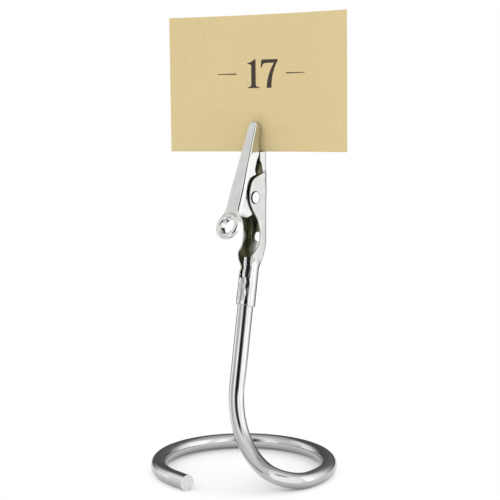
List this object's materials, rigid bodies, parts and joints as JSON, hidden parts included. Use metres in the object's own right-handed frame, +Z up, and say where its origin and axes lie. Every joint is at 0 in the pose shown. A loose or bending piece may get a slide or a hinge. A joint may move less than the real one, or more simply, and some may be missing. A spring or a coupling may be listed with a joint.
{
  "type": "place card holder",
  "caption": "Bright wire stand with an open ring base and a leaning stem, whose top carries a sprung toothed clip that grips a small curled paper card.",
  "frame": {"origin": "centre of the ring, on the table that the stand rests on", "axes": "+Z up, +X along the clip's hinge axis, -Y towards the side of the sprung lever"},
  "size_m": [0.0518, 0.051, 0.123],
  "materials": {
    "wire_chrome": "mirror-bright plated steel wire",
    "clip_plate": "bright nickel-plated pressed steel sheet",
    "rivet_steel": "plated steel rivet with domed heads",
    "spring_steel": "drawn spring wire",
    "card_paper": "matt straw-coloured card with a fine fibre"
  },
  "bodies": {
    "stand": {"wire_stand": "wire_chrome", "fixed_jaw": "clip_plate", "pivot_rivet": "rivet_steel", "torsion_spring": "spring_steel"},
    "lever": {"lever_jaw": "clip_plate"},
    "card": {"place_card": "card_paper"}
  },
  "joints": [
    {"name": "lever_hinge", "type": "hinge", "parent": "stand", "child": "lever", "pos_m": [0, 0.00098, 0.07445], "axis": [1, 0, 0], "range_deg": [0, 25], "stiffness_Nm_per_rad": 0.004, "springref_deg": -11.46, "deforming": ["torsion_spring"]},
    {"name": "card_slide", "type": "slide", "parent": "stand", "child": "card", "axis": [0, 0, 1], "range_m": [0, 0.03]}
  ]
}
